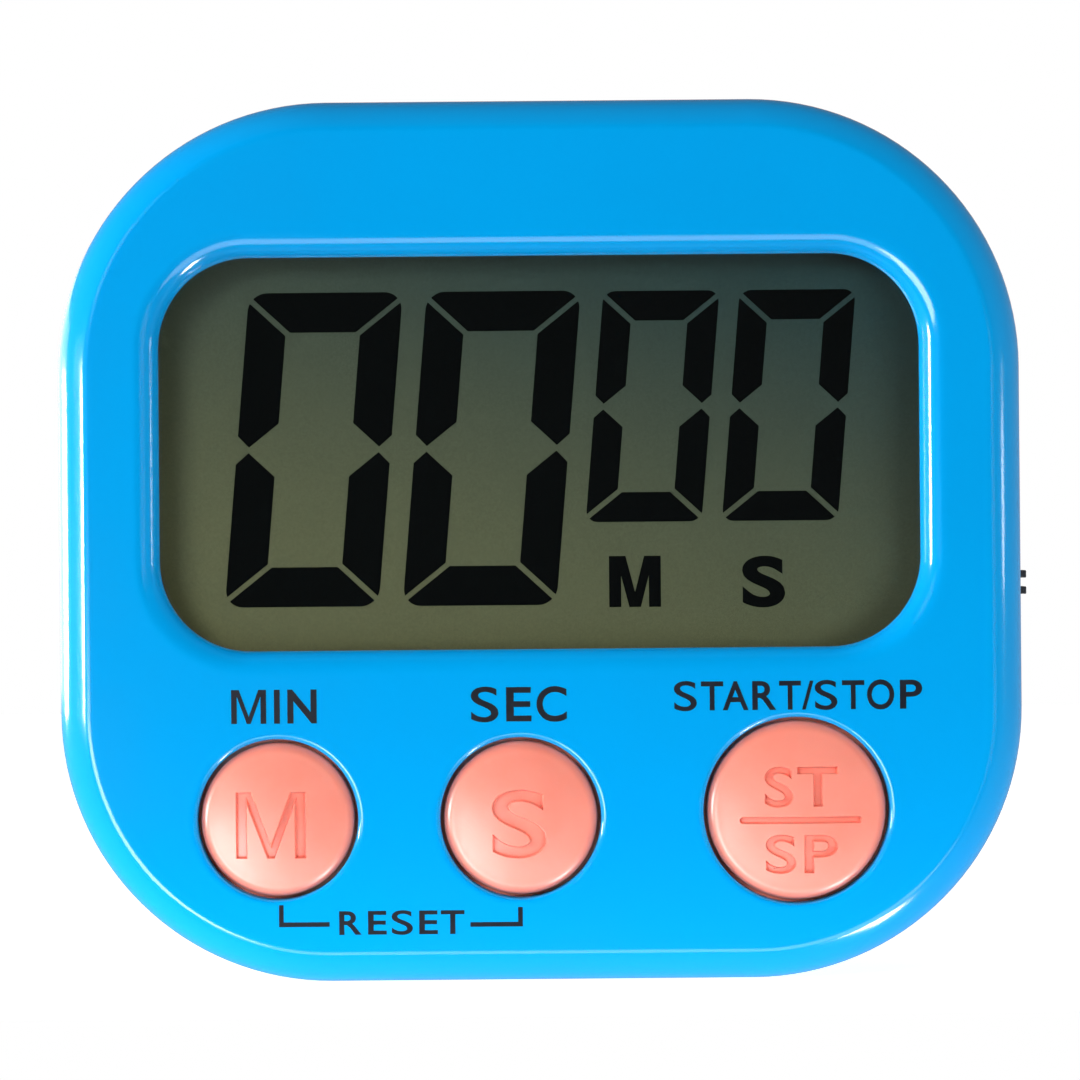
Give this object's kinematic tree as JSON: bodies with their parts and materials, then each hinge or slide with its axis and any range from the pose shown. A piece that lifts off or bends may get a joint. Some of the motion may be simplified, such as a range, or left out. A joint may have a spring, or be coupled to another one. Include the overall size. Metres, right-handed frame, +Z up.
{
  "type": "kitchen timer",
  "caption": "Palm-sized digital kitchen timer with a large segment display, push buttons, a side power slider, a fold-out stand, back magnets, a hanging hole and a battery bay.",
  "frame": {"origin": "bottom centre of the bounding box, where the standing timer meets the table", "axes": "+Z up with the timer standing on its bottom edge, the display faces -Y, +X is to the right of someone reading it"},
  "size_m": [0.0769, 0.0206, 0.0695],
  "materials": {
    "blue_plastic": "glossy moulded ABS",
    "coral_plastic": "satin moulded plastic",
    "black_plastic": "satin moulded plastic",
    "white_plastic": "matte moulded plastic",
    "clear_acrylic": "clear polished sheet",
    "display_glass": "clear glass pane",
    "polariser_film": "dark polarising film",
    "reflector_film": "grey-green reflecting film",
    "black_tape": "double-sided tape",
    "silicone": "matte silicone rubber",
    "board_laminate": "solder-masked laminate",
    "black_epoxy": "cured epoxy",
    "capacitor_ceramic": "fired ceramic",
    "buzzer_ceramic": "silvered ceramic",
    "steel": "zinc-plated steel",
    "spring_steel": "nickel-plated spring steel",
    "magnet_nickel": "nickel-plated magnet",
    "brass_sheet": "rolled sheet",
    "red_insulation": "extruded insulation",
    "black_insulation": "extruded insulation",
    "battery_jacket": "printed steel can"
  },
  "bodies": {
    "case": {"front_shell": "blue_plastic", "rear_shell": "blue_plastic", "window_lens": "clear_acrylic", "lens_tape": "black_tape", "lcd_front_polariser": "polariser_film", "lcd_front_glass": "display_glass", "lcd_rear_glass": "display_glass", "lcd_reflector": "reflector_film", "lcd_bracket": "white_plastic", "zebra_strip": "silicone", "circuit_board": "board_laminate", "chip_blob": "black_epoxy", "crystal_can": "steel", "chip_capacitors": "capacitor_ceramic", "minute_dome": "silicone", "second_dome": "silicone", "start_dome": "silicone", "power_switch_can": "steel", "buzzer_disc": "brass_sheet", "buzzer_ceramic": "buzzer_ceramic", "buzzer_wire_red": "red_insulation", "buzzer_wire_black": "black_insulation", "battery_cell": "battery_jacket", "battery_spring": "spring_steel", "spring_plate": "spring_steel", "battery_plate": "spring_steel", "battery_wire_red": "red_insulation", "battery_wire_black": "black_insulation", "magnets": "magnet_nickel", "case_screws": "steel", "board_screws": "steel"},
    "minute_button_body": {"minute_button": "coral_plastic"},
    "second_button_body": {"second_button": "coral_plastic"},
    "start_button_body": {"start_button": "coral_plastic"},
    "power_slider_body": {"power_slider": "black_plastic"},
    "stand_body": {"stand": "blue_plastic"},
    "battery_door_body": {"battery_door": "blue_plastic"}
  },
  "joints": [
    {"name": "minute_press", "type": "slide", "parent": "case", "child": "minute_button_body", "axis": [0, 1, 0], "range_m": [0, 0.0008], "stiffness_N_per_m": 1900, "springref_m": -0.0004, "deforming": ["minute_dome"]},
    {"name": "second_press", "type": "slide", "parent": "case", "child": "second_button_body", "axis": [0, 1, 0], "range_m": [0, 0.0008], "stiffness_N_per_m": 1900, "springref_m": -0.0004, "deforming": ["second_dome"]},
    {"name": "start_press", "type": "slide", "parent": "case", "child": "start_button_body", "axis": [0, 1, 0], "range_m": [0, 0.0008], "stiffness_N_per_m": 1900, "springref_m": -0.0004, "deforming": ["start_dome"]},
    {"name": "power_slide", "type": "slide", "parent": "case", "child": "power_slider_body", "axis": [0, 0, -1], "range_m": [0, 0.002]},
    {"name": "stand_fold", "type": "hinge", "parent": "case", "child": "stand_body", "pos_m": [0, 0.00835, 0.024], "axis": [-1, 0, 0], "range_deg": [0, 115]},
    {"name": "battery_door_swing", "type": "hinge", "parent": "case", "child": "battery_door_body", "pos_m": [0, 0.01025, 0.0055], "axis": [-1, 0, 0], "range_deg": [0, 80]}
  ]
}
